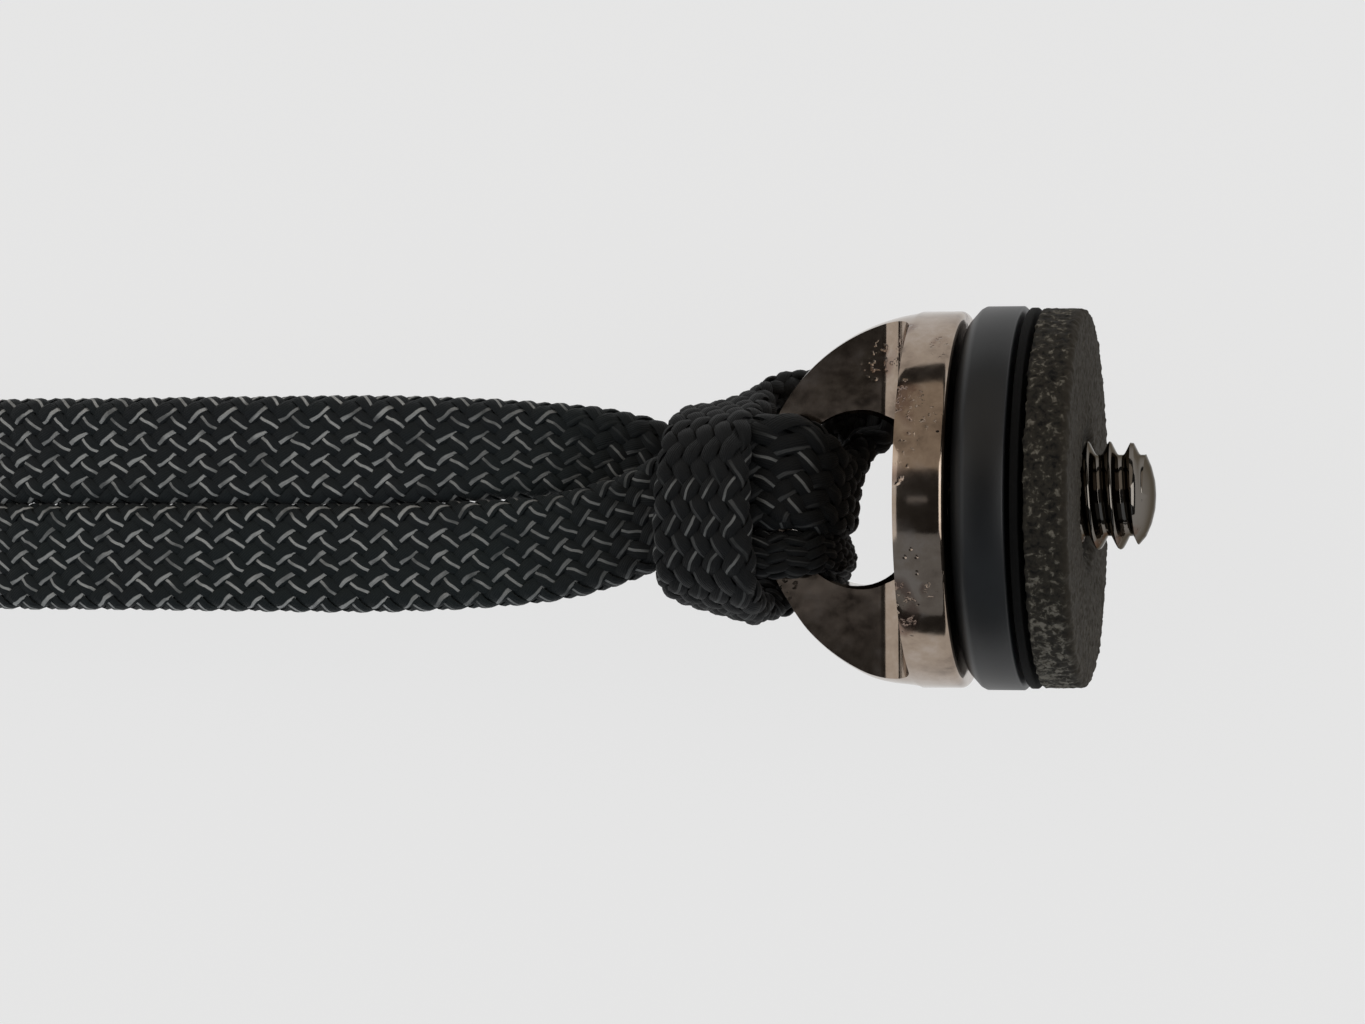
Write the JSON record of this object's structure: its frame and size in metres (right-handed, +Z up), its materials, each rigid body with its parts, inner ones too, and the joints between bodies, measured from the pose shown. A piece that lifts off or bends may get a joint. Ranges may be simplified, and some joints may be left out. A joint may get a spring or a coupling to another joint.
{
  "type": "monocular wrist strap",
  "caption": "Braided wrist strap hitched on a domed metal loop stud, with a threaded end for an optic's socket and a soft grip washer.",
  "frame": {"origin": "centre of the bounding box's underside, on the surface the strap lies on", "axes": "+X along the screw, out of its tip; +Z up; the strap's legs run along -X"},
  "size_m": [0.193, 0.062, 0.0225],
  "materials": {
    "gunmetal": "polished black nickel plating",
    "spacer_plastic": "satin",
    "gasket_rubber": "matte",
    "grip_rubber": "rough speckled cork rubber",
    "braid": "flat tubular braid with grey tracer threads"
  },
  "bodies": {
    "root": {"loop_stud": "gunmetal", "spacer_disc": "spacer_plastic", "gasket_ring": "gasket_rubber", "grip_washer": "grip_rubber", "braided_strap": "braid"}
  },
  "joints": []
}
